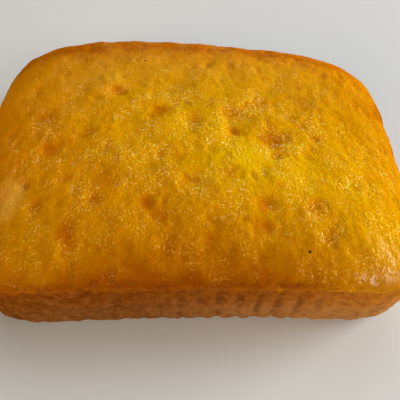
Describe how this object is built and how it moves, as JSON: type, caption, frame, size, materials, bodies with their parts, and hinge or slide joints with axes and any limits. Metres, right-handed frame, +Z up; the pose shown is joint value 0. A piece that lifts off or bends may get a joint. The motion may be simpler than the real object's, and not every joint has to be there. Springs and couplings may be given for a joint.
{
  "type": "lemon loaf cake",
  "caption": "Low oblong lemon sponge cake with a crowned, dimpled golden crust and a pleated brown side left by its baking case; rests flat on its base.",
  "frame": {"origin": "middle of the footprint's box, on the surface that the cake rests on", "axes": "+X along the length, +Y from the front long side to the back one, +Z up"},
  "size_m": [0.097, 0.079, 0.0272],
  "materials": {
    "sponge": "golden baked crust with a soft oily sheen, browner at the edges and on the side"
  },
  "bodies": {
    "root": {"cake": "sponge"}
  },
  "joints": []
}
